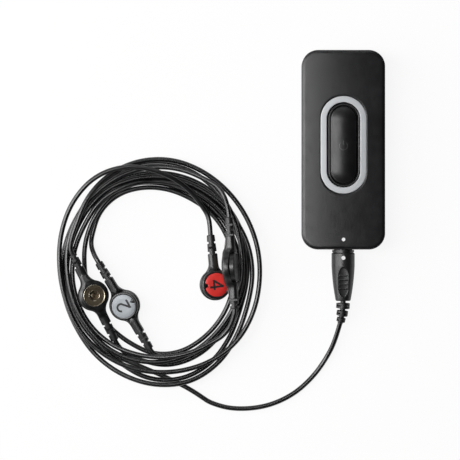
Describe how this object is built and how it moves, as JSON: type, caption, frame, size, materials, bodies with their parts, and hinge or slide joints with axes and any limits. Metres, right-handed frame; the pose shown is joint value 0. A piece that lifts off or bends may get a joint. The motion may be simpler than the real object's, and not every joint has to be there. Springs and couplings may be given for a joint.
{
  "type": "handheld ecg device",
  "caption": "Pocket-size heart-rhythm recorder with a large event button and a plug-in lead: one long thin coiled cord with round snap electrode heads in a chain.",
  "frame": {"origin": "on the table under the middle of the recorder's back", "axes": "+Y along the recorder towards its top end, away from the plug; +Z out of the face with the button; the lead set lies at -X"},
  "size_m": [0.1507, 0.1652, 0.0193],
  "materials": {
    "case_black": "soft-touch matt black",
    "ring_grey": "satin pale grey",
    "bezel_black": "satin black",
    "button_black": "soft-touch matt black",
    "seal_rubber": "matt black rubber",
    "screw_steel": "zinc-plated",
    "board_green": "solder mask",
    "chip_black": "moulded epoxy",
    "shield_metal": "tinned shield",
    "passive_tan": "ceramic",
    "lamp_clear": "clear lens",
    "switch_grey": "moulded",
    "cell_silver": "foil pouch",
    "tape_white": "foam tape",
    "dot_white": "printed white",
    "contact_gold": "gold-flashed",
    "socket_nickel": "nickel-plated",
    "insulator_black": "moulded",
    "plug_black": "soft-touch matt black",
    "relief_black": "matt elastomer",
    "cord_black": "flexible, slightly glossy",
    "head_black": "satin black",
    "label_grey": "satin grey",
    "label_red": "satin red",
    "label_dark": "satin dark",
    "snap_nickel": "turned nickel-plated brass",
    "spring_steel": "spring wire"
  },
  "bodies": {
    "recorder": {"front_cover": "case_black", "back_cover": "case_black", "cover_gasket": "seal_rubber", "cover_screws": "screw_steel", "button_ring": "ring_grey", "button_bezel": "bezel_black", "switch_body": "switch_grey", "circuit_board": "board_green", "processor_chip": "chip_black", "signal_chip": "chip_black", "memory_chip": "chip_black", "radio_shield": "shield_metal", "board_passives": "passive_tan", "beeper": "chip_black", "status_lamps": "lamp_clear", "battery_tape": "tape_white", "battery_cell": "cell_silver", "case_dot": "dot_white", "socket_shell": "socket_nickel", "socket_insert": "insulator_black", "socket_contacts": "contact_gold"},
    "event_button": {"event_button": "button_black", "switch_plunger": "switch_grey"},
    "lead_set": {"plug_sleeve": "socket_nickel", "plug_collar": "plug_black", "plug_insert": "insulator_black", "plug_pins": "contact_gold", "plug_shell": "plug_black", "plug_dot": "dot_white", "plug_relief": "relief_black", "main_lead": "cord_black", "main_coil": "cord_black", "lead_1": "cord_black", "lead_2": "cord_black", "lead_3": "cord_black", "head_1_base": "head_black", "head_1_cap": "head_black", "head_1_label": "label_dark", "head_1_socket": "snap_nickel", "head_1_spring": "spring_steel", "head_1_reliefs": "relief_black", "head_2_base": "head_black", "head_2_cap": "head_black", "head_2_label": "label_grey", "head_2_socket": "snap_nickel", "head_2_spring": "spring_steel", "head_2_reliefs": "relief_black", "head_3_base": "head_black", "head_3_cap": "head_black", "head_3_label": "label_dark", "head_3_socket": "snap_nickel", "head_3_spring": "spring_steel", "head_3_reliefs": "relief_black", "head_4_base": "head_black", "head_4_cap": "head_black", "head_4_label": "label_red", "head_4_socket": "snap_nickel", "head_4_spring": "spring_steel", "head_4_reliefs": "relief_black"}
  },
  "joints": [
    {"name": "event_press", "type": "slide", "parent": "recorder", "child": "event_button", "axis": [0, 0, -1], "range_m": [0, 0.0004], "stiffness_N_per_m": 1500},
    {"name": "plug_pull", "type": "slide", "parent": "recorder", "child": "lead_set", "axis": [0, -1, 0], "range_m": [0, 0.012]}
  ]
}
